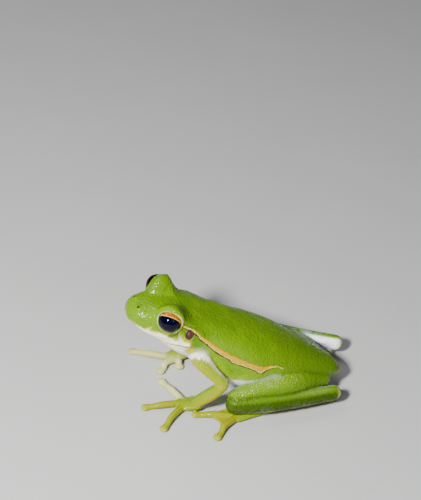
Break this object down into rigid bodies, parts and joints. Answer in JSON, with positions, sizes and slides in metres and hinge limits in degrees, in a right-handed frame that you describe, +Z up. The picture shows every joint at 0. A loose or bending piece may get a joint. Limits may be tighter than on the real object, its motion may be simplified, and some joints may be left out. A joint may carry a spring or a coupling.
{
  "type": "montevideo tree frog",
  "caption": "Life-size still model of a green tree frog at rest, front raised on its forelegs and hind legs folded at its sides.",
  "frame": {"origin": "on the floor, under the middle of the frog's bounding box", "axes": "+X from snout to rump, +Y to the frog's right side, +Z up; the frog faces -X"},
  "size_m": [0.0448, 0.0374, 0.0239],
  "materials": {
    "skin": "moist, finely granular green skin",
    "eye": "wet, glossy, dark pupil in a golden iris",
    "eardrum": "thin brown membrane, satin"
  },
  "bodies": {
    "root": {"ear_left": "eardrum", "ear_right": "eardrum", "eye_left": "eye", "eye_right": "eye", "finger_1_left": "skin", "finger_1_right": "skin", "finger_2_left": "skin", "finger_2_right": "skin", "finger_3_left": "skin", "finger_3_right": "skin", "finger_4_left": "skin", "finger_4_right": "skin", "foot_left": "skin", "foot_right": "skin", "forearm_left": "skin", "forearm_right": "skin", "hand_left": "skin", "hand_right": "skin", "head": "skin", "shank_left": "skin", "shank_right": "skin", "tarsus_left": "skin", "tarsus_right": "skin", "thigh_left": "skin", "thigh_right": "skin", "toe_1_left": "skin", "toe_1_right": "skin", "toe_2_left": "skin", "toe_2_right": "skin", "toe_3_left": "skin", "toe_3_right": "skin", "toe_4_left": "skin", "toe_4_right": "skin", "toe_5_left": "skin", "toe_5_right": "skin", "trunk": "skin", "upper_arm_left": "skin", "upper_arm_right": "skin"}
  },
  "joints": []
}
